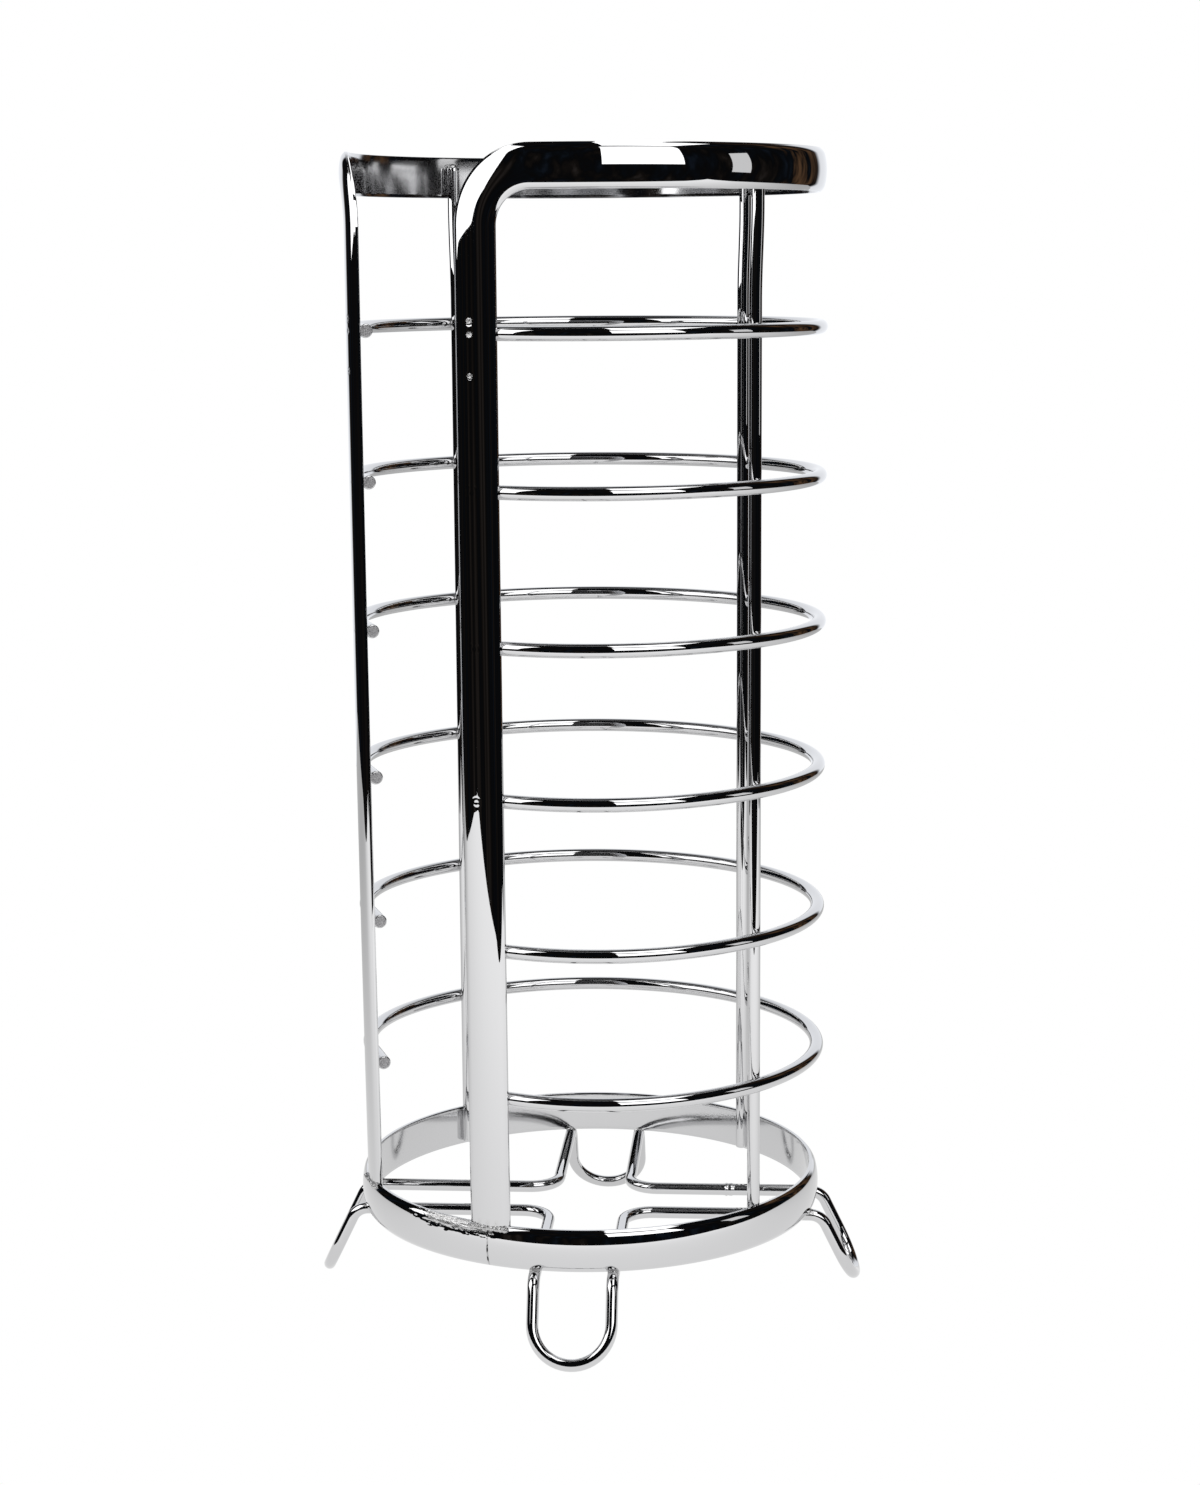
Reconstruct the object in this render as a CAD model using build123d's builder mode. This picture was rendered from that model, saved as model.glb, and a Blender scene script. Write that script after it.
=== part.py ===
from build123d import *

import os
from math import acos, cos, degrees, radians, sin, tan

# Wire umbrella stand, all welded steel: a base ring and a hoop frame of crowned bar, six
# C-shaped wire rings, three upright rods and one closed foot wire with four splayed U feet.
# Millimetres, +Z up, the stand's middle on the Z axis, feet on Z = 0. Angles are degrees
# round Z from +X, and the side opening between the two uprights faces OPEN_AT.

# --- driving dimensions: crowned bar -------------------------------------------------
BAR_W = 18.4            # height of the bar where it stands as a band
BAR_T = 4.0             # thickness at the crown
CROWN_DROP = 0.8        # the flat crown falls by this much before the shoulders start
SHOULDER = 2.8          # each shoulder's share of the bar's height

# --- rings, frame and uprights -------------------------------------------------------
RING_R = 103.0          # axis to the middle of a ring's wire
RING_WIRE = 6.0         # wire diameter
RING_COUNT = 6
RIM_GAP = 66.4          # middle of the rim to the top ring, the others share the rest
RING_TIGHTEN = 16.0     # bend radius is this much less where a ring runs in to an upright
RING_END = 8.0          # cut end past the middle of the upright
FRAME_H = 470.0         # bottom edge of the base ring to the top edge of the rim
HOOP_OUT = 1.2          # the rim's inner face stands this far outside the base ring's
HOOP_LEAN = 2.2         # uprights lean in by this much on the way down
BEND_R = 23.5           # middle of the bar round each upper corner
OPEN_AT = 220.5         # middle of the side opening
OPEN_HALF = 24.2        # from there to the middle of each upright
UPRIGHT_DIP = 1.0       # an upright reaches this far down over the base ring's round edge

# --- rods ----------------------------------------------------------------------------
ROD_D = 5.5
ROD_AXIS = 41.7         # middle rod, nearly across from the opening
ROD_SPREAD = 85.3       # from it to the two other rods
ROD_FOOT = 1.5          # lower cut end above the base ring's bottom edge
ROD_HEAD = 4.6          # upper cut end below the rim's top edge
CRANK_LOW = 12.0        # the crank starts this far above the top ring
CRANK_TOP = 15.0        # and ends this far below the middle of the rim

# --- foot wire -----------------------------------------------------------------------
FOOT_WIRE = 5.3
FOOT_TURN = -4.2        # the foot cross is welded on slightly turned
FOOT_SPAN = 33.5        # between the two legs of one foot
FOOT_DROP = 36.6        # floor to the bottom edge of the base ring
FOOT_SPLAY = 26.0       # legs lean out from the vertical
KNEE_OUT = 5.5          # knees turn down this far outside the base ring's inner face
KNEE_R = 8.0            # bend from the flat run down into a leg
CORNER_R = 13.0         # bend in the flat run between two feet

# --- joints --------------------------------------------------------------------------
SETDOWN = 0.5           # one piece sinks this far into the other at a spot weld
ROD_BEAD = 2.6          # radii of the weld beads
UPRIGHT_BEAD = 1.9
FOOT_BEAD = 2.5
BEAD_COUNT = 7          # beads that run together across the end of an upright
BEAD_IN = 1.2           # beads sit this far inside the edge that they fill
FOOT_BEAD_DROP = 0.6    # and this far under the base ring

# --- derived -------------------------------------------------------------------------
BASE_R = RING_R - RING_WIRE / 2
HOOP_R = BASE_R + HOOP_OUT
BASE_MID = FOOT_DROP + BAR_W / 2
BASE_TOP = FOOT_DROP + BAR_W
RIM_MID = FOOT_DROP + FRAME_H - BAR_W / 2
RING_PITCH = (RIM_MID - RIM_GAP - BASE_MID) / RING_COUNT
RING_Z = [BASE_MID + RING_PITCH * i for i in range(RING_COUNT, 0, -1)]
UP_LOW = BASE_TOP - UPRIGHT_DIP
UP_TOP = RIM_MID - BEND_R
LEFT_AT, FRONT_AT = OPEN_AT - OPEN_HALF, OPEN_AT + OPEN_HALF
ROD_AT = [ROD_AXIS, ROD_AXIS + ROD_SPREAD, ROD_AXIS - ROD_SPREAD]
ROD_TOP = FOOT_DROP + FRAME_H - ROD_HEAD


def up(z):
    """A height as a vector."""
    return Vector(0, 0, z)


def out(angle):
    """Unit vector pointing away from the axis."""
    return Vector(cos(radians(angle)), sin(radians(angle)), 0)


def round_z(angle):
    """Unit vector along the circle, towards larger angles."""
    return Vector(-sin(radians(angle)), cos(radians(angle)), 0)


def upright_face(z):
    """Radius of an upright's inner face: the rim's at its top, leaning in lower down."""
    t = (z - UP_LOW) / (UP_TOP - UP_LOW)
    return HOOP_R - HOOP_LEAN * (1 - t) ** 2


def bar_section(plane):
    """Crowned bar: flat inside, shallow crown and round shoulders along the plane's x."""
    edge = BAR_W / 2
    brow = (BAR_T - CROWN_DROP, edge - SHOULDER)
    with BuildSketch(plane) as section:
        with BuildLine():
            crown = ThreePointArc((brow[0], -brow[1]), (BAR_T, 0), brow)
            shoulder = TangentArc(crown @ 1, (0, edge), tangent=crown % 1)
            mirror(shoulder, about=Plane.XZ)
            Line((0, -edge), (0, edge))
        make_face()
    return section.sketch


def wire_along(path, diameter):
    """Round wire swept along a path."""
    with BuildSketch(Plane(origin=path @ 0, z_dir=path % 0)) as section:
        Circle(diameter / 2)
    sweep(sections=section.sketch, path=path)


# --- base ring: crowned bar rolled into a hoop and butt welded ------------------------
with BuildPart() as base_ring:
    add(bar_section(Plane(origin=(BASE_R, 0, BASE_MID), x_dir=(1, 0, 0), z_dir=(0, -1, 0))))
    revolve(axis=Axis.Z, revolution_arc=360)


# --- hoop frame: one crowned bar, up, round the rim and down again --------------------
def upright_sections(at):
    """The bar's sections up one upright."""
    steps = 6
    heights = [UP_LOW + (UP_TOP - UP_LOW) * i / steps for i in range(steps + 1)]
    return [bar_section(Plane(origin=out(at) * upright_face(z) + up(z), x_dir=out(at), z_dir=(0, 0, 1)))
            for z in heights]


def corner_sections(at, way):
    """Its sections round the corner, which the bar leaves in the sense of way."""
    steps = 8
    sections = []
    for bend in [radians(90) * i / steps for i in range(steps + 1)]:
        here = at + way * degrees(BEND_R * (1 - cos(bend)) / HOOP_R)
        spot = out(here) * HOOP_R + up(UP_TOP + BEND_R * sin(bend))
        along = up(cos(bend)) + round_z(here) * way * sin(bend)
        sections.append(bar_section(Plane(origin=spot, x_dir=out(here), z_dir=along)))
    return sections


with BuildPart() as hoop_frame:
    for at, way in ((LEFT_AT, -1), (FRONT_AT, 1)):
        loft(upright_sections(at))
        loft(corner_sections(at, way))
    corner_span = degrees(BEND_R / HOOP_R)
    rim_from = FRONT_AT + corner_span
    rim_start = out(rim_from) * HOOP_R + up(RIM_MID)
    add(bar_section(Plane(origin=rim_start, x_dir=out(rim_from), z_dir=-round_z(rim_from))))
    revolve(axis=Axis.Z, revolution_arc=360 - 2 * OPEN_HALF - 2 * corner_span)
    add(base_ring.part, mode=Mode.SUBTRACT)


# --- rods: straight against the rings, cranked out at the top onto the rim ------------
def rod_path(at):
    """Line, gentle S of the crank, and line again."""
    low_r = BASE_R - ROD_D / 2 + SETDOWN
    top_r = HOOP_R - ROD_D / 2 + SETDOWN
    knee, meet = RING_Z[0] + CRANK_LOW, RIM_MID - CRANK_TOP
    middle = (knee + meet) / 2
    crank = [(low_r, knee), (low_r, middle), (top_r, middle), (top_r, meet)]
    with BuildLine() as path:
        Line(out(at) * low_r + up(FOOT_DROP + ROD_FOOT), out(at) * low_r + up(knee))
        Bezier(*[out(at) * r + up(z) for r, z in crank])
        Line(out(at) * top_r + up(meet), out(at) * top_r + up(ROD_TOP))
    return path.wires()[0]


rods = []
for at in ROD_AT:
    with BuildPart() as rod:
        wire_along(rod_path(at), ROD_D)
        add(base_ring.part, mode=Mode.SUBTRACT)
        add(hoop_frame.part, mode=Mode.SUBTRACT)
    rods.append(rod)


# --- wire rings, top to bottom --------------------------------------------------------
def ring_path(z):
    """Round the back at full radius, tighter towards the uprights, straight behind them."""
    face = upright_face(z) - RING_WIRE / 2 + SETDOWN
    curl_r = RING_R - RING_TIGHTEN
    curl = degrees(acos((face - curl_r) / RING_TIGHTEN))
    foot = RING_TIGHTEN * sin(radians(curl))
    ends, starts, middles, joins = [], [], [], []
    for at, way in ((LEFT_AT, 1), (FRONT_AT, -1)):
        centre = out(at - way * curl) * RING_TIGHTEN
        ends.append(out(at) * face + round_z(at) * way * RING_END + up(z))
        starts.append(out(at) * face - round_z(at) * way * foot + up(z))
        middles.append(centre + out(at - way * curl / 2) * curl_r + up(z))
        joins.append(out(at - way * curl) * RING_R + up(z))
    with BuildLine() as path:
        Line(ends[0], starts[0])
        ThreePointArc(starts[0], middles[0], joins[0])
        ThreePointArc(joins[0], out(OPEN_AT + 180) * RING_R + up(z), joins[1])
        ThreePointArc(joins[1], middles[1], starts[1])
        Line(starts[1], ends[1])
    return path.wires()[0]


rings = []
for z in RING_Z:
    with BuildPart() as ring:
        wire_along(ring_path(z), RING_WIRE)
        add(hoop_frame.part, mode=Mode.SUBTRACT)
        for rod in rods:
            add(rod.part, mode=Mode.SUBTRACT)
    rings.append(ring)

# --- foot wire: four legs and four flat corner runs, one closed wire ------------------
foot_half = FOOT_SPAN / 2
splay = radians(FOOT_SPLAY)
run_z = FOOT_DROP - FOOT_WIRE / 2 + SETDOWN
tip_z = FOOT_WIRE / 2
knee_r = BASE_R + KNEE_OUT
foot_reach = knee_r + (run_z - tip_z) * tan(splay)


def foot_leg(turn, side):
    """One side of a foot: its tip, top of the U, top of the leg and inner end of the knee."""
    arm, across = out(turn), round_z(turn) * side
    fall = arm * sin(splay) - up(cos(splay))
    knee_length = KNEE_R * tan((radians(90) - splay) / 2)
    tip = arm * foot_reach + up(tip_z)
    knee = arm * knee_r + across * foot_half + up(run_z)
    return tip, tip + (across - fall) * foot_half, knee + fall * knee_length, knee - arm * knee_length


def foot_quarter_path():
    """From the tip of one foot, up, along the corner run and down to the next foot's tip."""
    arm_a, arm_b = out(FOOT_TURN), out(FOOT_TURN + 90)
    tip_a, u_a, leg_a, knee_a = foot_leg(FOOT_TURN, 1)
    tip_b, u_b, leg_b, knee_b = foot_leg(FOOT_TURN + 90, -1)
    turn_a = arm_a * (foot_half + CORNER_R) + arm_b * foot_half + up(run_z)
    turn_b = arm_b * (foot_half + CORNER_R) + arm_a * foot_half + up(run_z)
    with BuildLine() as path:
        TangentArc(tip_a, u_a, tangent=arm_b)
        Line(u_a, leg_a)
        TangentArc(leg_a, knee_a, tangent=leg_a - u_a)
        Line(knee_a, turn_a)
        TangentArc(turn_a, turn_b, tangent=-arm_a)
        Line(turn_b, knee_b)
        TangentArc(knee_b, leg_b, tangent=arm_b)
        Line(leg_b, u_b)
        TangentArc(u_b, tip_b, tangent=u_b - leg_b)
    return path.wires()[0]


with BuildPart() as foot_quarter:
    wire_along(foot_quarter_path(), FOOT_WIRE)

with BuildPart() as foot_wire:
    with PolarLocations(0, 4):
        add(foot_quarter.part)
    add(base_ring.part, mode=Mode.SUBTRACT)

# --- weld metal: rod tops, upright ends, foot wire under the base ring ----------------
with BuildPart() as rod_welds:
    for at in ROD_AT:
        with Locations(out(at) * (HOOP_R - BEAD_IN) + up(ROD_TOP)):
            Sphere(ROD_BEAD)
    for piece in (hoop_frame, *rods):
        add(piece.part, mode=Mode.SUBTRACT)

with BuildPart() as upright_welds:
    bead_row = (BAR_W - 2 * UPRIGHT_BEAD) / (BEAD_COUNT - 1)
    bead_r = BASE_R + BAR_T - CROWN_DROP - BEAD_IN / 2
    for at in (LEFT_AT, FRONT_AT):
        for i in range(BEAD_COUNT):
            shift = (i - (BEAD_COUNT - 1) / 2) * bead_row
            with Locations(out(at) * bead_r + round_z(at) * shift + up(BASE_TOP - BEAD_IN)):
                Sphere(UPRIGHT_BEAD)
    for piece in (hoop_frame, base_ring):
        add(piece.part, mode=Mode.SUBTRACT)

with BuildPart() as foot_welds:
    crossing_r = BASE_R + BAR_T / 4
    crossing = (crossing_r ** 2 - foot_half ** 2) ** 0.5
    for quarter in range(4):
        turn = FOOT_TURN + 90 * quarter
        for side in (-1, 1):
            spot = out(turn) * crossing + round_z(turn) * side * foot_half
            with Locations(spot + up(FOOT_DROP - FOOT_BEAD_DROP)):
                Sphere(FOOT_BEAD)
    for piece in (foot_wire, base_ring):
        add(piece.part, mode=Mode.SUBTRACT)

# --- export ---------------------------------------------------------------------------
pieces = {
    "base_ring": base_ring,
    "hoop_frame": hoop_frame,
    "foot_wire": foot_wire,
    "rod_back_right": rods[0],
    "rod_back_left": rods[1],
    "rod_front_right": rods[2],
    "rod_welds": rod_welds,
    "upright_welds": upright_welds,
    "foot_welds": foot_welds,
}
for number, ring in enumerate(rings, start=1):
    pieces[f"wire_ring_{number}"] = ring

os.makedirs("parts", exist_ok=True)
for name, piece in pieces.items():
    piece.part.label = name
    export_step(piece.part, f"parts/{name}.step")
    print(name, len(piece.part.solids()), "solids", round(piece.part.volume, 1))
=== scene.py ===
from math import acos, asin, cos, degrees, exp, pi, radians, sin, tan

import bmesh
import bpy
from mathutils import Matrix, Vector, noise


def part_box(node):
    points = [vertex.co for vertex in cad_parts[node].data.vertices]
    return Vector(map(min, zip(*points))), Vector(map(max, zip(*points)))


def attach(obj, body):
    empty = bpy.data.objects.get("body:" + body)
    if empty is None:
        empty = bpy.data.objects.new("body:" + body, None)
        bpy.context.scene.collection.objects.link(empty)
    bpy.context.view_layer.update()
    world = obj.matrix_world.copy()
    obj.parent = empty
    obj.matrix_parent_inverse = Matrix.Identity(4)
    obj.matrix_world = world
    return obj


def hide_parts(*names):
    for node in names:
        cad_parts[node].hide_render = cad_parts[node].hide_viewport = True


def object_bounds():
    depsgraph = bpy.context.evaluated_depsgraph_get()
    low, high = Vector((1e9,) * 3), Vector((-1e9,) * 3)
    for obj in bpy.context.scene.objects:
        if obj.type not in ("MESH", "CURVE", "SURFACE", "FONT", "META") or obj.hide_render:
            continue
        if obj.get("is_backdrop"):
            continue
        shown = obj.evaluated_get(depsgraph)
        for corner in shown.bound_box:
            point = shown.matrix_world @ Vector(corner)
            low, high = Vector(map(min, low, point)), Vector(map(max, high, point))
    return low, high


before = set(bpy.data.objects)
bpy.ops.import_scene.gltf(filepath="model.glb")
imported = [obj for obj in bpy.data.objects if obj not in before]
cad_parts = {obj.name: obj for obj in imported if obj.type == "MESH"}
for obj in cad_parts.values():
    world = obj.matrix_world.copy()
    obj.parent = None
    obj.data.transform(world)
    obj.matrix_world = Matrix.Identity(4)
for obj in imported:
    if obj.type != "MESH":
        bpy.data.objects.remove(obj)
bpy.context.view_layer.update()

# ---------------------------------------------------------------------------
# Base ring. A mild-steel crowned bar, flat inside and rounded outside, rolled
# the hard way into a hoop, butt welded, ground and chrome plated. The butt
# sits under the front upright, where its ground joint still shows as a line.
# ---------------------------------------------------------------------------
MM = 0.001
base_low, base_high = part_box("base_ring")
bar_wide = base_high.z - base_low.z
bar_thick = 4.0 * MM
base_flat_r = base_high.x - bar_thick
base_mid_z = (base_low.z + base_high.z) / 2
opening_at, opening_half = 220.5, 24.2
left_at, front_at = opening_at - opening_half, opening_at + opening_half
seam_at = 244.8
ground_from, ground_to = 220, 247


def out(angle):
    """Unit vector away from the stand's axis."""
    return Vector((cos(radians(angle)), sin(radians(angle)), 0))


def round_axis(angle):
    """Unit vector along the circle, towards larger angles."""
    return Vector((-sin(radians(angle)), cos(radians(angle)), 0))


def crowned_bar_section():
    """Outline of the bar as (outwards, across): shallow crown, round shoulders, a narrow
    flat edge with both arrises just broken, and the flat inner face."""
    edge, arris = bar_wide / 2, 0.25 * MM
    brow, drop = edge - 2.8 * MM, 0.8 * MM
    crown_r = (brow * brow + drop * drop) / (2 * drop)
    brow_turn, edge_turn = asin(brow / crown_r), radians(52)
    shoulder_r = (edge - arris - brow) / (sin(edge_turn) - sin(brow_turn))
    half = [(bar_thick - crown_r * (1 - cos(turn)), crown_r * sin(turn))
            for turn in [brow_turn * i / 14 for i in range(14)]]
    half += [(bar_thick - drop - shoulder_r * (cos(brow_turn) - cos(turn)),
              brow + shoulder_r * (sin(turn) - sin(brow_turn)))
             for turn in [brow_turn + (edge_turn - brow_turn) * i / 9 for i in range(10)]]
    lip = half[-1][0] - arris
    half += [(lip + arris * cos(turn), edge - arris + arris * sin(turn))
             for turn in (radians(66), radians(78), radians(90))]
    half += [(lip / 2, edge), (arris, edge), (arris * 0.3, edge - arris * 0.3), (0.0, edge - arris)]
    half += [(0.0, (edge - arris) * (1 - i / 6)) for i in range(1, 6)]
    return half + [(0.0, 0.0)] + [(x, -y) for x, y in reversed(half[1:])]


def swept_mesh(name, stations, section, closed=False):
    """Skin of a section carried through stations of (origin, outwards, across, size)."""
    bm = bmesh.new()
    loops = []
    for origin, outwards, across, size in stations:
        loops.append([bm.verts.new(origin + outwards * x * size + across * y * size)
                      for x, y in section])
    count = len(section)
    pairs = list(zip(loops, loops[1:] + loops[:1])) if closed else list(zip(loops, loops[1:]))
    for here, there in pairs:
        for i in range(count):
            j = (i + 1) % count
            bm.faces.new((here[i], here[j], there[j], there[i]))
    if not closed:
        for loop in (loops[0], loops[-1]):
            centre = bm.verts.new(sum((v.co for v in loop), Vector()) / count)
            for i in range(count):
                bm.faces.new((loop[i], loop[(i + 1) % count], centre)).material_index = 1
    bmesh.ops.recalc_face_normals(bm, faces=bm.faces)
    mesh = bpy.data.meshes.new(name)
    bm.to_mesh(mesh)
    bm.free()
    mesh.shade_smooth()
    mesh.set_sharp_from_angle(angle=radians(40))
    piece = bpy.data.objects.new(name, mesh)
    bpy.context.scene.collection.objects.link(piece)
    return piece


def mark_heat(piece, spots, reach):
    """Per-vertex weld heat, 1 at a weld and fading out over its reach."""
    layer = piece.data.attributes.new("weld_heat", "FLOAT", "POINT")
    for i, vertex in enumerate(piece.data.vertices):
        near = min(((vertex.co - spot).length for spot in spots), default=1.0)
        layer.data[i].value = max(0.0, 1 - near / reach) ** 0.7


def mark_inner_face(piece):
    """1 on the bar's flat inner face, which is only rolled and less buffed, else 0."""
    layer = piece.data.attributes.new("inner_face", "FLOAT", "POINT")
    for vertex in piece.data.vertices:
        outward = Vector((*vertex.co.xy, 0)).normalized()
        layer.data[vertex.index].value = 1.0 if vertex.normal.dot(outward) < -0.6 else 0.0


def mark_butt_line(piece):
    """1 along the open line of the butt joint, where the plating doesn't reach, else 0."""
    layer = piece.data.attributes.new("butt_line", "FLOAT", "POINT")
    line_half = degrees(0.35 * MM / base_flat_r)
    for vertex in piece.data.vertices:
        angle = degrees(vertex.co.xy.angle_signed(Vector((1, 0)))) % 360
        broken = 0.65 + 2.2 * noise.noise(vertex.co / (2.4 * MM))
        if abs(angle - seam_at) < line_half:
            layer.data[vertex.index].value = min(1.0, max(0.2, broken))


def linear(hex_colour):
    """sRGB hex to the linear RGBA that the shader sockets take."""
    def channel(c):
        return c / 12.92 if c <= 0.04045 else ((c + 0.055) / 1.055) ** 2.4
    rgb = [int(hex_colour[i:i + 2], 16) / 255 for i in (1, 3, 5)]
    return (*[channel(c) for c in rgb], 1.0)


def add_node(tree, kind, settings=None, values=None, links=None):
    """Adds a node with its properties, its socket values and its incoming links."""
    node = tree.nodes.new(kind)
    for key, value in (settings or {}).items():
        setattr(node, key, value)
    for key, value in (values or {}).items():
        node.inputs[key].default_value = value
    for key, source in (links or {}).items():
        tree.links.new(source, node.inputs[key])
    return node


def bright_chrome(name, wave_mm, wave_deep_mm):
    """Bright chromium over polished nickel on steel: hard sharp mirror with the faint
    waviness that hand buffing leaves, fine wipe marks, and dull grainy patches where
    plating lies over weld heat."""
    material = bpy.data.materials.new(name)
    material.use_nodes = True
    tree = material.node_tree
    tree.nodes.clear()
    place = add_node(tree, "ShaderNodeTexCoord").outputs["Object"]
    heat = add_node(tree, "ShaderNodeAttribute", {"attribute_name": "weld_heat"}).outputs["Fac"]
    inner = add_node(tree, "ShaderNodeAttribute", {"attribute_name": "inner_face"}).outputs["Fac"]
    butt = add_node(tree, "ShaderNodeAttribute", {"attribute_name": "butt_line"}).outputs["Fac"]
    cloud = add_node(tree, "ShaderNodeTexNoise", {}, {"Scale": 1 / (25 * MM), "Detail": 3.0,
                     "Roughness": 0.6}, {"Vector": place}).outputs["Fac"]
    grain = add_node(tree, "ShaderNodeTexNoise", {}, {"Scale": 1 / (0.8 * MM), "Detail": 4.0,
                     "Roughness": 0.7}, {"Vector": place}).outputs["Fac"]
    wave = add_node(tree, "ShaderNodeTexNoise", {}, {"Scale": 1 / (wave_mm * MM), "Detail": 1.0},
                    {"Vector": place}).outputs["Fac"]
    stretch = add_node(tree, "ShaderNodeMapping", {}, {"Scale": (1.0, 1.0, 0.06)},
                       {"Vector": place}).outputs["Vector"]
    wipe = add_node(tree, "ShaderNodeTexNoise", {}, {"Scale": 1 / (1.2 * MM), "Detail": 5.0,
                    "Roughness": 0.75}, {"Vector": stretch}).outputs["Fac"]
    clean = add_node(tree, "ShaderNodeMapRange", {}, {"From Min": 0.35, "From Max": 0.75,
                     "To Min": 0.006, "To Max": 0.024}, {"Value": cloud}).outputs["Result"]
    wiped = add_node(tree, "ShaderNodeMapRange", {}, {"From Min": 0.55, "From Max": 0.8,
                     "To Min": 0.0, "To Max": 0.005}, {"Value": wipe}).outputs["Result"]
    smooth = add_node(tree, "ShaderNodeMath", {"operation": "ADD"}, {},
                      {0: clean, 1: wiped}).outputs["Value"]
    hazy = add_node(tree, "ShaderNodeMath", {"operation": "MULTIPLY_ADD"}, {1: 0.08},
                    {0: inner, 2: smooth}).outputs["Value"]
    patchy = add_node(tree, "ShaderNodeMath", {"operation": "MULTIPLY"}, {},
                      {0: heat, 1: grain}).outputs["Value"]
    dull = add_node(tree, "ShaderNodeMath", {"operation": "MULTIPLY_ADD"}, {1: 0.55},
                    {0: patchy, 2: hazy}).outputs["Value"]
    colour = add_node(tree, "ShaderNodeMix", {"data_type": "RGBA"},
                      {"A": linear("#d0d0d1"), "B": linear("#b3b2b0")}, {"Factor": patchy})
    colour = add_node(tree, "ShaderNodeMix", {"data_type": "RGBA"}, {"B": linear("#3b3a3a")},
                      {"Factor": butt, "A": colour.outputs["Result"]})
    wavy = add_node(tree, "ShaderNodeBump", {}, {"Strength": 1.0, "Distance": wave_deep_mm * MM},
                    {"Height": wave}).outputs["Normal"]
    pitted = add_node(tree, "ShaderNodeBump", {}, {"Distance": 0.25 * MM},
                      {"Height": grain, "Strength": heat, "Normal": wavy}).outputs["Normal"]
    skin = add_node(tree, "ShaderNodeBsdfPrincipled", {}, {"Metallic": 1.0},
                    {"Base Color": colour.outputs["Result"], "Roughness": dull, "Normal": pitted})
    add_node(tree, "ShaderNodeOutputMaterial", {}, {}, {"Surface": skin.outputs["BSDF"]})
    return material


bar_chrome = bright_chrome("bright_chrome_on_rolled_bar", 22, 0.008)


def base_ring_stations():
    """Even steps round the hoop, finer where the ground weld and the butt line are."""
    turns = []
    at = 0.0
    while at < 360 - 1e-6:
        turns.append(at)
        near_weld = ground_from - 4 <= at < ground_to + 4
        near_seam = abs(at - seam_at) < 0.6
        at += 0.05 if near_seam else 0.25 if near_weld else 1.0
        at = round(at, 3)
    return [(out(at) * base_flat_r + Vector((0, 0, base_mid_z)), out(at), Vector((0, 0, 1)), 1.0)
            for at in turns]


base_ring = swept_mesh("base_ring", base_ring_stations(), crowned_bar_section(), closed=True)


def grind_base_ring(mesh):
    """Ground weld streaked along the top shoulder beside the front upright, and the butt line."""
    for vertex in mesh.vertices:
        outward = Vector((*vertex.co.xy, 0)).normalized()
        angle = degrees(outward.xy.angle_signed(Vector((1, 0)))) % 360
        height = (vertex.co.z - base_mid_z) / (bar_wide / 2)
        proud = vertex.co.xy.length - base_flat_r
        along = radians(angle) * base_flat_r
        if ground_from < angle < ground_to and height > 0.35 and proud > 0.3 * MM:
            fade = min(1, (angle - ground_from) / 8, (ground_to - angle) / 1.5)
            fade *= min(1, (height - 0.35) / 0.2)
            streak = noise.noise(Vector((along / 5, vertex.co.z / 0.6, proud)) / MM)
            lump = noise.noise(vertex.co / (0.9 * MM))
            vertex.co -= outward * 0.30 * MM * fade * max(0, 0.2 + streak + 0.6 * lump)
        off_seam = abs(angle - seam_at) * radians(1) * base_flat_r
        groove_half, groove_deep = 0.4 * MM, 0.5 * MM
        if off_seam < groove_half and proud > 1.0 * MM:
            broken = min(1.0, max(0.25, 0.7 + 2.5 * noise.noise(vertex.co / (1.6 * MM))))
            vertex.co -= outward * groove_deep * broken * (1 - off_seam / groove_half)


grind_base_ring(base_ring.data)
mark_heat(base_ring, [out(front_at - 1.5 * i) * (base_flat_r + 2.6 * MM)
                      + Vector((0, 0, base_high.z)) for i in range(0, 12)], 5.0 * MM)
mark_inner_face(base_ring)
mark_butt_line(base_ring)
base_ring.data.materials.append(bar_chrome)
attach(base_ring, "root")
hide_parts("base_ring")

# ---------------------------------------------------------------------------
# Hoop frame. One length of the same crowned bar: up at the front, bent in its
# own surface, rolled round as the rim, bent down again at the left and welded
# on the base ring's top edge. Spot-weld marks show on its outer face.
# ---------------------------------------------------------------------------
hoop_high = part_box("hoop_frame")[1]
hoop_flat_r = hoop_high.x - bar_thick
hoop_lean = 2.2 * MM
bend_r = 23.5 * MM
rim_mid_z = hoop_high.z - bar_wide / 2
upright_low_z = base_high.z - 1.0 * MM
upright_top_z = rim_mid_z - bend_r
bend_span = degrees(bend_r / hoop_flat_r)
ring_nodes = [f"wire_ring_{i}" for i in range(1, 7)]
ring_heights = [sum(corner.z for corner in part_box(node)) / 2 for node in ring_nodes]
mark_heights = [ring_heights[0] + 5 * MM, ring_heights[0] - 17 * MM] + ring_heights[:4]
mark_radii = [1.5 * MM, 1.3 * MM, 0.8 * MM, 3.0 * MM, 2.4 * MM, 2.0 * MM]


def upright_face(z):
    """Inner face of the uprights: vertical under the corner, leaning in lower down."""
    t = (z - upright_low_z) / (upright_top_z - upright_low_z)
    return hoop_flat_r - hoop_lean * (1 - t) ** 2


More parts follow.
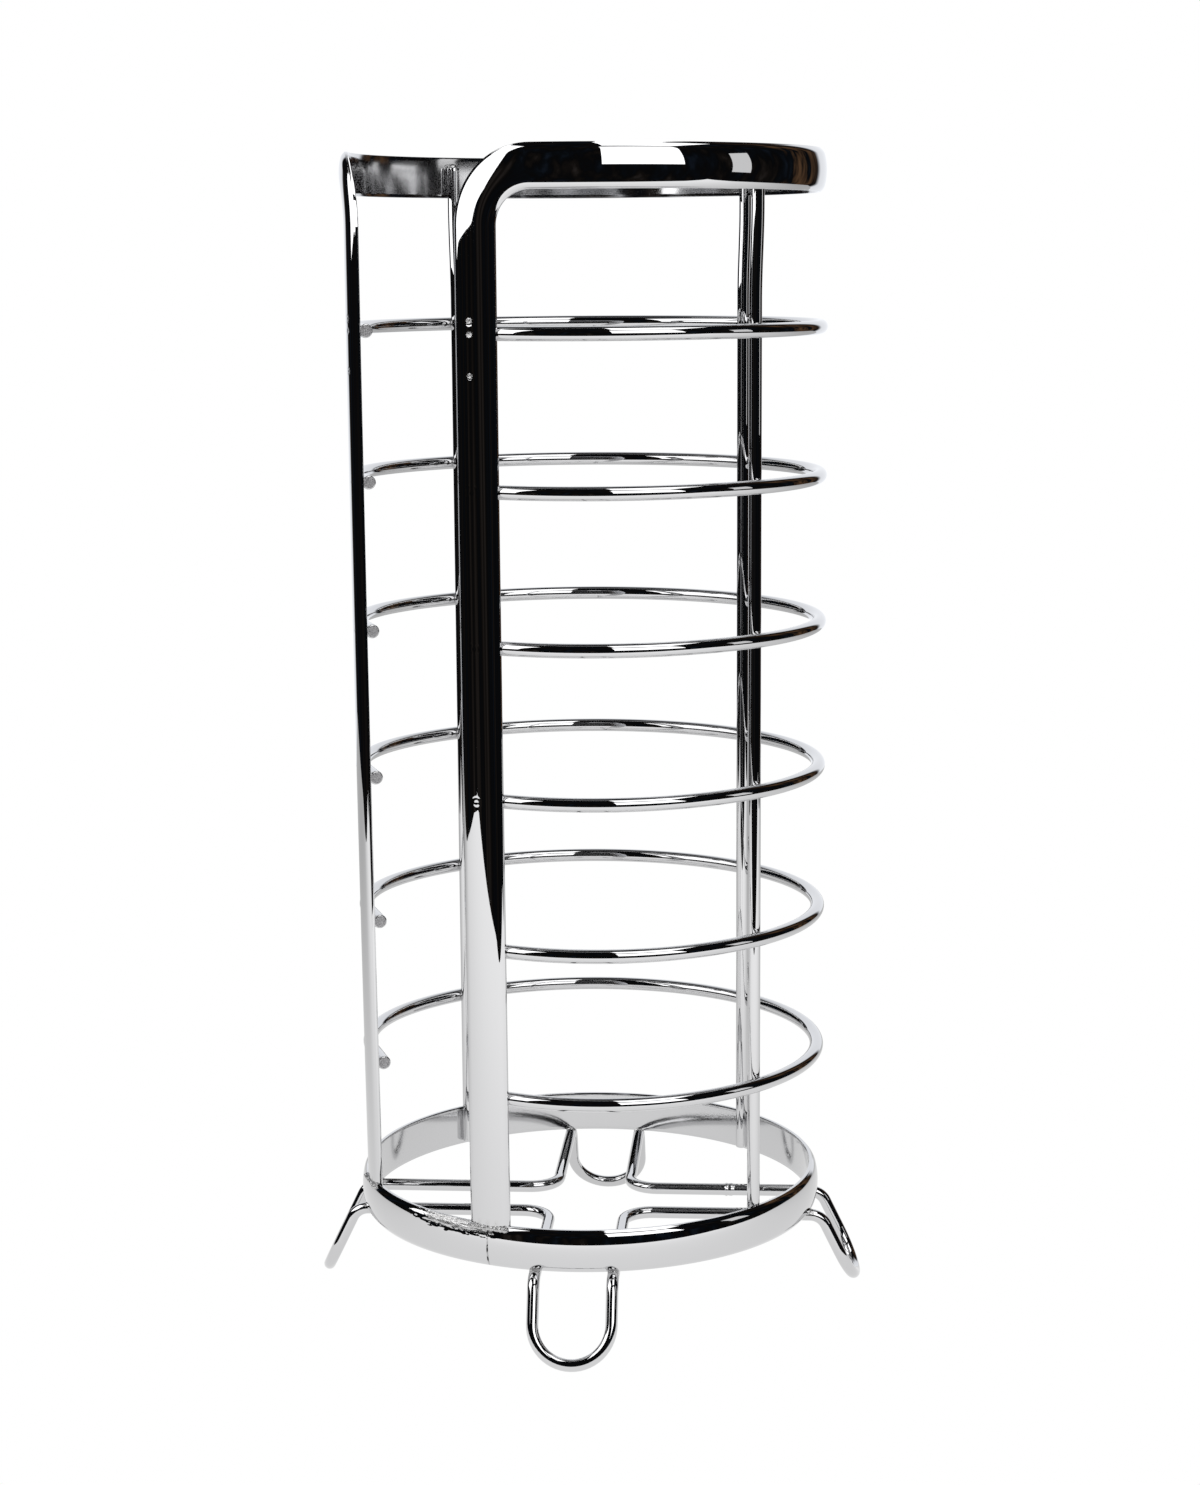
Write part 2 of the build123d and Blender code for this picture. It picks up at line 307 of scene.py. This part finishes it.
def upright_stations(at, way):
    """Up one upright and round its corner; way is the sense in which the rim leaves it."""
    stations = []
    z = upright_low_z
    while z < upright_top_z - 0.2 * MM:
        origin = out(at) * upright_face(z) + Vector((0, 0, z))
        stations.append((origin, out(at), Vector((0, 0, 1)).cross(out(at)), 1.0))
        near_mark = min(abs(z - mark) for mark in mark_heights) < 4 * MM
        z += 0.25 * MM if near_mark else 2.0 * MM
    for i in range(33):
        b = radians(90) * i / 32
        here = at + way * degrees(bend_r * (1 - cos(b)) / hoop_flat_r)
        origin = out(here) * hoop_flat_r + Vector((0, 0, upright_top_z + bend_r * sin(b)))
        along = Vector((0, 0, cos(b))) + round_axis(here) * way * sin(b)
        stations.append((origin, out(here), along.cross(out(here)), 1.0))
    return stations


def hoop_stations():
    left = upright_stations(left_at, -1)
    front = [(o, side, -across, s) for o, side, across, s in reversed(upright_stations(front_at, 1))]
    rim = []
    start, stop = left_at - bend_span, front_at + bend_span - 360
    steps = 220
    for i in range(1, steps):
        at = start + (stop - start) * i / steps
        origin = out(at) * hoop_flat_r + Vector((0, 0, rim_mid_z))
        rim.append((origin, out(at), Vector((0, 0, 1)), 1.0))
    return left + rim + front


hoop_frame = swept_mesh("hoop_frame", hoop_stations(), crowned_bar_section())
mark_shift = 1.7 * MM
weld_marks = [(out(at) * (upright_face(z) + bar_thick) + round_axis(at) * shift + Vector((0, 0, z)),
               radius)
              for at, shift in ((front_at, -mark_shift), (left_at, mark_shift))
              for z, radius in zip(mark_heights, mark_radii)]


def press_weld_marks(mesh):
    """The electrode of each spot weld leaves a ring, and the hotter ones a pinhole in it."""
    for vertex in mesh.vertices:
        spot, radius = min(weld_marks, key=lambda mark: (vertex.co - mark[0]).length_squared)
        gap = (vertex.co - spot).length
        if gap < 6 * MM:
            outward = Vector((*vertex.co.xy, 0)).normalized()
            hot = radius < 2 * MM
            groove = (0.05 if hot else 0.012) * exp(-(((gap - radius) / (0.4 * MM)) ** 2))
            pinhole = (0.18 if hot else 0.03) * exp(-((gap / (0.5 * MM)) ** 2))
            vertex.co -= outward * (groove + pinhole) * MM


press_weld_marks(hoop_frame.data)
hot_spots = [spot for spot, radius in weld_marks if radius < 2 * MM]
mark_heat(hoop_frame, hot_spots + [out(at) * (upright_face(upright_low_z) + bar_thick)
          + round_axis(at) * off * MM + Vector((0, 0, base_high.z))
          for at in (left_at, front_at) for off in (-8, -4, 0, 4, 8)], 1.6 * MM)
mark_inner_face(hoop_frame)
hoop_frame.data.materials.append(bar_chrome)
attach(hoop_frame, "root")
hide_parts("hoop_frame")

# ---------------------------------------------------------------------------
# Upright rods. Three lengths of 5.5 mm drawn wire, straight against the insides
# of the rings and the base ring, set out a little at the top to reach the rim,
# and spot welded at every crossing.
# ---------------------------------------------------------------------------
rod_thick = 5.5 * MM
ring_thick = 6.0 * MM
setdown = 0.5 * MM
ring_r = 103.0 * MM
rod_r = ring_r - ring_thick / 2 - rod_thick / 2 + setdown
rod_top_r = hoop_flat_r - rod_thick / 2 + setdown
rod_places = {"rod_back_right": 41.7, "rod_back_left": 127.0, "rod_front_right": -43.6}


def round_section(diameter, sides):
    return [(diameter / 2 * cos(2 * pi * i / sides), diameter / 2 * sin(2 * pi * i / sides))
            for i in range(sides)]


def sheared_end():
    """Cut wire end: torn grey metal under the plating, dull and grainy."""
    material = bpy.data.materials.new("plated_sheared_wire_end")
    material.use_nodes = True
    tree = material.node_tree
    tree.nodes.clear()
    place = add_node(tree, "ShaderNodeTexCoord").outputs["Object"]
    tear = add_node(tree, "ShaderNodeTexNoise", {}, {"Scale": 1 / (0.9 * MM), "Detail": 5.0,
                    "Roughness": 0.7}, {"Vector": place}).outputs["Fac"]
    tint = add_node(tree, "ShaderNodeMix", {"data_type": "RGBA"},
                    {"A": linear("#8c8b8f"), "B": linear("#e2e1e2")}, {"Factor": tear})
    bump = add_node(tree, "ShaderNodeBump", {}, {"Strength": 1.0, "Distance": 0.6 * MM},
                    {"Height": tear}).outputs["Normal"]
    skin = add_node(tree, "ShaderNodeBsdfPrincipled", {}, {"Metallic": 0.35, "Roughness": 0.3},
                    {"Base Color": tint.outputs["Result"], "Normal": bump})
    add_node(tree, "ShaderNodeOutputMaterial", {}, {}, {"Surface": skin.outputs["BSDF"]})
    return material


wire_chrome = bright_chrome("bright_chrome_on_drawn_wire", 14, 0.002)
cut_end = sheared_end()


def eased_ends(stations, diameter):
    """Rounds off the arris at both cut ends of a wire over its last half millimetre."""
    steps = ((0.0, 0.84), (0.12, 0.93), (0.3, 0.985), (0.5, 1.0))
    first, last = stations[0], stations[-1]
    inward_a = (stations[1][0] - first[0]).normalized()
    inward_b = (stations[-2][0] - last[0]).normalized()
    head = [(first[0] + inward_a * step * MM, first[1], first[2], size) for step, size in steps]
    tail = [(last[0] + inward_b * step * MM, last[1], last[2], size) for step, size in reversed(steps)]
    return head + stations[1:-1] + tail


def rod_stations(at, low_z, high_z):
    knee, meet = ring_heights[0] + 12 * MM, rim_mid_z - 15 * MM
    stations = []
    steps = 300
    for i in range(steps + 1):
        z = low_z + (high_z - low_z) * i / steps
        t = min(1.0, max(0.0, (z - knee) / (meet - knee)))
        radius = rod_r + (rod_top_r - rod_r) * t * t * (3 - 2 * t)
        stations.append((out(at) * radius + Vector((0, 0, z)), out(at), round_axis(at), 1.0))
    return eased_ends(stations, rod_thick)


for node, at in rod_places.items():
    low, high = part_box(node)
    rod = swept_mesh(node, rod_stations(at, low.z, high.z), round_section(rod_thick, 40))
    mark_heat(rod, [out(at) * ring_r + Vector((0, 0, z)) for z in ring_heights]
              + [out(at) * hoop_flat_r + Vector((0, 0, high.z))], 3.2 * MM)
    rod.data.materials.append(wire_chrome)
    rod.data.materials.append(cut_end)
    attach(rod, "root")
    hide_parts(node)

# ---------------------------------------------------------------------------
# Wire rings. Six lengths of 6 mm drawn wire rolled to a C: full radius round the
# back, tighter towards the uprights and straight where they lie behind them.
# Both ends are sheared off just past the upright and left as cut.
# ---------------------------------------------------------------------------
ring_curl_r = 87.0 * MM
ring_end = 8.0 * MM


def ring_stations(z):
    """Points along one ring from its left end, round the back, to its front end."""
    face = upright_face(z) - ring_thick / 2 + setdown
    curl = degrees(acos((face - ring_curl_r) / (ring_r - ring_curl_r)))
    foot = (ring_r - ring_curl_r) * sin(radians(curl))
    up = Vector((0, 0, z))
    half = []
    for i in range(13):
        half.append((out(0) * face + round_axis(0) * (ring_end - (ring_end + foot) * i / 12), 0.0))
    centre = out(-curl) * (ring_r - ring_curl_r)
    for i in range(1, 41):
        half.append((centre + out(-curl * i / 40) * ring_curl_r, -curl * i / 40))
    left = [(Matrix.Rotation(radians(left_at), 3, "Z") @ p, left_at + turn) for p, turn in half]
    mirror = Matrix.Diagonal((1, -1, 1))
    front = [(Matrix.Rotation(radians(front_at), 3, "Z") @ (mirror @ p), front_at - turn - 360)
             for p, turn in half]
    back = []
    start, stop, steps = left_at - curl, front_at + curl - 360, 200
    for i in range(1, steps):
        at = start + (stop - start) * i / steps
        back.append((out(at) * ring_r, at))
    path = left + back + front[::-1]
    stations = [(p + up, out(at), Vector((0, 0, 1)), 1.0) for p, at in path]
    return eased_ends(stations, ring_thick)


for node, z in zip(ring_nodes, ring_heights):
    ring = swept_mesh(node, ring_stations(z), round_section(ring_thick, 44))
    crossings = [out(at) * (ring_r - ring_thick / 2) + Vector((0, 0, z)) for at in rod_places.values()]
    crossings += [out(at) * upright_face(z) + Vector((0, 0, z)) for at in (left_at, front_at)]
    mark_heat(ring, crossings, 3.6 * MM)
    ring.data.materials.append(wire_chrome)
    ring.data.materials.append(cut_end)
    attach(ring, "root")
    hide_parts(node)

# ---------------------------------------------------------------------------
# Foot wire. One 5.3 mm wire bent into a cross of four splayed U feet, closed by
# a butt weld in the back right run. The runs lie flat under the base ring's
# bottom edge and each pair of legs turns down just outside it.
# ---------------------------------------------------------------------------
foot_low, foot_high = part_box("foot_wire")
foot_thick = 5.3 * MM
foot_turn = -4.2
foot_half = 33.5 * MM / 2
foot_reach = 121.0 * MM
foot_splay = radians(26)
knee_bend = 8.0 * MM
corner_bend = 13.0 * MM
run_z = foot_high.z - foot_thick / 2
tip_z = foot_low.z + foot_thick / 2


def arc_between(start, corner, stop, steps):
    """Round bend that leaves start towards corner and reaches stop from it."""
    a, b = (corner - start).normalized(), (stop - corner).normalized()
    turn = a.angle(b)
    radius = (corner - start).length / tan(turn / 2)
    inward = (b - a * a.dot(b)).normalized()
    centre = start + inward * radius
    return [centre - inward * radius * cos(turn * i / steps) + a * radius * sin(turn * i / steps)
            for i in range(steps + 1)]


def straight(start, stop, steps):
    return [start + (stop - start) * i / steps for i in range(1, steps)]


def foot_quarter(turn):
    """From the tip of one foot, through its corner run, to the tip of the next."""
    arm, next_arm = out(turn), out(turn + 90)
    knee_r = foot_reach - (run_z - tip_z) * tan(foot_splay)
    cut = knee_bend * tan((pi / 2 - foot_splay) / 2)

    def leg(along, across):
        fall = along * sin(foot_splay) - Vector((0, 0, cos(foot_splay)))
        tip = along * foot_reach + Vector((0, 0, tip_z))
        corner = along * knee_r + across * foot_half + Vector((0, 0, run_z))
        bend = arc_between(corner + fall * cut, corner, corner - along * cut, 8)
        toe = arc_between(tip, tip + across * foot_half, tip + (across - fall) * foot_half, 14)
        return toe, bend
    toe_a, bend_a = leg(arm, next_arm)
    toe_b, bend_b = leg(next_arm, arm)
    crux = (arm + next_arm) * foot_half + Vector((0, 0, run_z))
    crook = arc_between(crux + arm * corner_bend, crux, crux + next_arm * corner_bend, 10)
    points = toe_a + straight(toe_a[-1], bend_a[0], 8) + bend_a
    points += straight(bend_a[-1], crook[0], 90) + crook + straight(crook[-1], bend_b[-1], 40)
    points += bend_b[::-1] + straight(bend_b[0], toe_b[-1], 8) + toe_b[:0:-1]
    return points


def foot_stations():
    """The closed wire with frames turned as little as possible from point to point."""
    points = [p for i in range(4) for p in foot_quarter(foot_turn + 90 * i)]
    count = len(points)
    ahead = [(points[(i + 1) % count] - points[i - 1]).normalized() for i in range(count)]
    side = ahead[0].orthogonal().normalized()
    sides = [side]
    for i in range(1, count + 1):
        side = ahead[i - 1].rotation_difference(ahead[i % count]) @ sides[-1]
        sides.append(side)
    twist = sides[-1].angle(sides[0])
    if ahead[0].dot(sides[-1].cross(sides[0])) < 0:
        twist = -twist
    butt = (out(foot_turn) * 63 * MM + out(foot_turn + 90) * foot_half + Vector((0, 0, run_z)))
    stations = []
    for i, point in enumerate(points):
        side = Matrix.Rotation(twist * i / count, 3, ahead[i]) @ sides[i]
        near = (point - butt).length
        size = 1.0 + 0.15 * exp(-(((near - 1.0 * MM) / (0.6 * MM)) ** 2))
        stations.append((point, side, ahead[i].cross(side), size))
    return stations


foot_wire = swept_mesh("foot_wire", foot_stations(), round_section(foot_thick, 40), closed=True)
foot_crossings = []
for quarter in range(4):
    for sense in (-1, 1):
        turn = foot_turn + 90 * quarter
        reach = ((base_flat_r + 1 * MM) ** 2 - foot_half ** 2) ** 0.5
        foot_crossings.append(out(turn) * reach + round_axis(turn) * sense * foot_half
                              + Vector((0, 0, base_low.z - 0.6 * MM)))
mark_heat(foot_wire, foot_crossings, 4.0 * MM)
foot_wire.data.materials.append(wire_chrome)
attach(foot_wire, "root")
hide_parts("foot_wire")

# ---------------------------------------------------------------------------
# Weld metal. Small hand-run beads left under the plating: a button on top of
# each rod where it meets the rim, a ground bead along the foot of each upright,
# and a tack each side of the foot wire under the base ring.
# ---------------------------------------------------------------------------


def bead_mesh(name, blobs):
    """Runny drops of weld metal: (centre, radius, squash axis) with a rippled skin."""
    bm = bmesh.new()
    for centre, radius, flat in blobs:
        made = bmesh.ops.create_icosphere(bm, subdivisions=4, radius=radius)
        for vertex in made["verts"]:
            away = vertex.co.copy()
            away -= flat * away.dot(flat) * 0.25
            ripple = noise.noise((centre + away) / (1.1 * MM)) * 0.12 * radius
            vertex.co = centre + away + away.normalized() * ripple
    mesh = bpy.data.meshes.new(name)
    bm.to_mesh(mesh)
    bm.free()
    mesh.shade_smooth()
    piece = bpy.data.objects.new(name, mesh)
    bpy.context.scene.collection.objects.link(piece)
    return piece


weld_chrome = bright_chrome("chrome_over_weld_bead", 3, 0.01)
rod_top_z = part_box("rod_back_right")[1].z
upright_blobs = []
for at in (left_at, front_at):
    for off in range(-8, 9, 2):
        middle = out(at) * (base_flat_r + 2.3 * MM) + round_axis(at) * off * MM
        centre = middle + Vector((0, 0, base_high.z - 1.3 * MM))
        upright_blobs.append((centre, 1.7 * MM, Vector((0, 0, 1))))
weld_groups = {
    "rod_welds": [(out(at) * (hoop_flat_r - 1.2 * MM) + Vector((0, 0, rod_top_z)), 2.3 * MM,
                   Vector((0, 0, 1))) for at in rod_places.values()],
    "upright_welds": upright_blobs,
    "foot_welds": [(spot, 2.3 * MM, Vector((0, 0, 1))) for spot in foot_crossings],
}
for node, blobs in weld_groups.items():
    beads = bead_mesh(node, blobs)
    mark_heat(beads, [centre for centre, radius, flat in blobs], 6 * MM)
    beads.data.materials.append(weld_chrome)
    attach(beads, "root")
    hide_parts(node)

# ---------------------------------------------------------------------------
# Studio. A pale table top in a dark room with a bright backdrop and a wooden door,
# lit by soft boxes; the table top takes none of their light and glows with painted light instead.
# Polished chrome shows all of it. Two overhead boxes are flagged
# off everything but the hoop frame, so the wires keep dark lines along their tops.
# ---------------------------------------------------------------------------
bm = bmesh.new()
table_left, table_right, table_front, table_back = -1.08, 1.25, -0.74, 1.30
bm.faces.new([bm.verts.new((x, y, 0.0))
              for x, y in ((table_left, table_front), (table_right, table_front),
                           (table_right, table_back), (table_left, table_back))])
table = bpy.data.meshes.new("table_top")
bm.to_mesh(table)
bm.free()
floor = bpy.data.objects.new("table_top", table)
bpy.context.scene.collection.objects.link(floor)


def table_paper():
    """White paper sheet that glows instead of being lit: pure white to the camera, and to reflections a
    painted pool of light, brighter towards the front, where the lamps stand.
    """
    material = bpy.data.materials.new("white_paper_sheet_painted_glow")
    material.use_nodes = True
    tree = material.node_tree
    tree.nodes.clear()
    place = add_node(tree, "ShaderNodeTexCoord").outputs["Object"]
    depth = add_node(tree, "ShaderNodeSeparateXYZ", {}, {}, {"Vector": place}).outputs["Y"]
    # Painted light: the sheet's glow is strongest at the front and fades towards the back, in place of
    # lamp light falling on it.
    painted_lamp_falloff = add_node(tree, "ShaderNodeMapRange", {"interpolation_type": "SMOOTHSTEP"},
                       {"From Min": -0.80, "From Max": 0.90, "To Min": 1.24, "To Max": 0.54},
                       {"Value": depth}).outputs["Result"]
    seen = add_node(tree, "ShaderNodeLightPath").outputs["Is Camera Ray"]
    strength = add_node(tree, "ShaderNodeMix", {"data_type": "FLOAT"}, {"B": 1.0},
                        {"Factor": seen, "A": painted_lamp_falloff}).outputs["Result"]
    glow = add_node(tree, "ShaderNodeEmission", {}, {"Color": linear("#ffffff")},
                    {"Strength": strength})
    add_node(tree, "ShaderNodeOutputMaterial", {}, {}, {"Surface": glow.outputs["Emission"]})
    return material


table.materials.append(table_paper())
floor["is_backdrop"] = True


def soft_box(name, corner, across, upwards, glow, shaded_to=None):
    """Rectangular diffused lamp spanned by two edges from one corner, facing the stand;
    shaded_to names the only piece that it lights, as a flag in front of a lamp would."""
    corner, across, upwards = Vector(corner), Vector(across), Vector(upwards)
    data = bpy.data.lights.new(name, "AREA")
    data.shape = "RECTANGLE"
    data.size, data.size_y = across.length, upwards.length
    data.energy = glow * pi * across.length * upwards.length
    lamp = bpy.data.objects.new(name, data)
    facing = across.cross(upwards).normalized()
    turn = Matrix((across.normalized(), upwards.normalized(), facing)).transposed()
    lamp.matrix_world = Matrix.Translation(corner + (across + upwards) / 2) @ turn.to_4x4()
    bpy.context.scene.collection.objects.link(lamp)
    if shaded_to:
        lit = bpy.data.collections.new(name + "_subject")
        lit.objects.link(shaded_to)
        lamp.light_linking.receiver_collection = lit


soft_box("right_box", (0.19, -1.30, 0.55), (0.84, 0.30, 0.0), (0.0, 0.0, 1.1), 2.2)
soft_box("top_right_box", (0.13, -0.95, 1.66), (0.72, 0.2, 0.0), (-0.02, 0.9, 0.0), 2.0)
soft_box("top_back_box", (0.07, -0.05, 1.66), (0.34, 0.0, 0.0), (-0.04, 1.5, 0.0), 2.0, hoop_frame)
soft_box("left_box", (-1.35, 0.25, 0.445), (0.55, -1.10, 0.06), (0.10, 0.05, 1.25), 2.0)
soft_box("top_left_box", (-1.25, -0.85, 1.75), (0.60, 0.0, 0.0), (0.0, 1.35, 0.0), 2.0,
         hoop_frame)
soft_box("far_lamp", (1.42, -0.50, 0.30), (0.07, 0.28, 0.0), (0.0, 0.0, 0.66), 0.85)

world = bpy.data.worlds.new("studio")
bpy.context.scene.world = world
world.use_nodes = True
room = world.node_tree
room.nodes.clear()
towards = add_node(room, "ShaderNodeTexCoord").outputs["Generated"]
axes = add_node(room, "ShaderNodeSeparateXYZ", {}, {}, {"Vector": towards})
level = add_node(room, "ShaderNodeVectorMath", {"operation": "MULTIPLY"}, {1: (1.0, 1.0, 0.0)},
                 {0: towards}).outputs["Vector"]
heading = add_node(room, "ShaderNodeVectorMath", {"operation": "NORMALIZE"}, {}, {0: level})
behind = add_node(room, "ShaderNodeSeparateXYZ", {}, {},
                  {"Vector": heading.outputs["Vector"]}).outputs["Y"]
sides = add_node(room, "ShaderNodeMapRange", {"interpolation_type": "SMOOTHSTEP"},
                 {"From Min": 0.80, "From Max": 0.87}, {"Value": behind}).outputs["Result"]
rise = add_node(room, "ShaderNodeMapRange", {"interpolation_type": "SMOOTHSTEP"},
                {"From Min": 0.45, "From Max": 0.93, "To Min": 1.0, "To Max": 0.0},
                {"Value": axes.outputs["Z"]}).outputs["Result"]
backdrop = add_node(room, "ShaderNodeMath", {"operation": "MULTIPLY"}, {},
                    {0: sides, 1: rise}).outputs["Value"]
drapes = add_node(room, "ShaderNodeMapping", {}, {"Scale": (3.2, 3.2, 0.5)},
                  {"Vector": towards}).outputs["Vector"]
folds = add_node(room, "ShaderNodeTexNoise", {}, {"Scale": 2.6, "Detail": 4.0}, {"Vector": drapes})
gloom = add_node(room, "ShaderNodeValToRGB", {}, {}, {"Fac": folds.outputs["Fac"]})
ramp = gloom.color_ramp
ramp.elements[0].position, ramp.elements[0].color = 0.28, linear("#161c25")
ramp.elements[1].position, ramp.elements[1].color = 0.74, linear("#2b2725")
for spot, tone in ((0.40, "#0c0f13"), (0.52, "#0b0b0c"), (0.63, "#171412")):
    ramp.elements.new(spot).color = linear(tone)
door_side = add_node(room, "ShaderNodeMapRange", {"interpolation_type": "SMOOTHSTEP"},
                     {"From Min": 0.32, "From Max": 0.46}, {"Value": behind}).outputs["Result"]
door_right = add_node(room, "ShaderNodeMapRange", {"interpolation_type": "SMOOTHSTEP"},
                      {"From Min": 0.4, "From Max": 0.7}, {"Value": axes.outputs["X"]}).outputs["Result"]
slats = add_node(room, "ShaderNodeMapRange", {}, {"From Min": 0.44, "From Max": 0.60},
                 {"Value": folds.outputs["Fac"]}).outputs["Result"]
door = add_node(room, "ShaderNodeMath", {"operation": "MULTIPLY"}, {}, {0: door_side, 1: door_right})
wood = add_node(room, "ShaderNodeMath", {"operation": "MULTIPLY"}, {},
                {0: door.outputs["Value"], 1: slats}).outputs["Value"]
walls = add_node(room, "ShaderNodeMix", {"data_type": "RGBA"}, {"B": linear("#5a4330")},
                 {"Factor": wood, "A": gloom.outputs["Color"]}).outputs["Result"]
inside = add_node(room, "ShaderNodeMix", {"data_type": "RGBA"}, {"B": (0.98, 1.0, 1.04, 1)},
                  {"Factor": backdrop, "A": walls})
seen = add_node(room, "ShaderNodeLightPath").outputs["Is Camera Ray"]
shown = add_node(room, "ShaderNodeMix", {"data_type": "RGBA"}, {"B": (1.0, 1.0, 1.0, 1)},
                 {"Factor": seen, "A": inside.outputs["Result"]})
sky = add_node(room, "ShaderNodeBackground", {}, {"Strength": 1.0},
               {"Color": shown.outputs["Result"]})
add_node(room, "ShaderNodeOutputWorld", {}, {}, {"Surface": sky.outputs["Background"]})

# ---------------------------------------------------------------------------
# Camera. Level with the rim and a little over a metre in front, tipped down to
# hold the whole stand, with the lens turned a fraction off upright.
# ---------------------------------------------------------------------------
lens = bpy.data.cameras.new("camera")
lens.lens = 69.12
camera = bpy.data.objects.new("camera", lens)
bpy.context.scene.collection.objects.link(camera)
tip_down, pan_right, roll = 9.705, 0.262, -0.384
camera.matrix_world = (Matrix.Translation((0, -1.25619, 0.46211))
                       @ Matrix.Rotation(radians(-pan_right), 4, "Z")
                       @ Matrix.Rotation(radians(90 - tip_down), 4, "X")
                       @ Matrix.Rotation(radians(roll), 4, "Z"))
bpy.context.scene.camera = camera
bpy.context.scene.view_settings.view_transform = "Standard"

low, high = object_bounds()
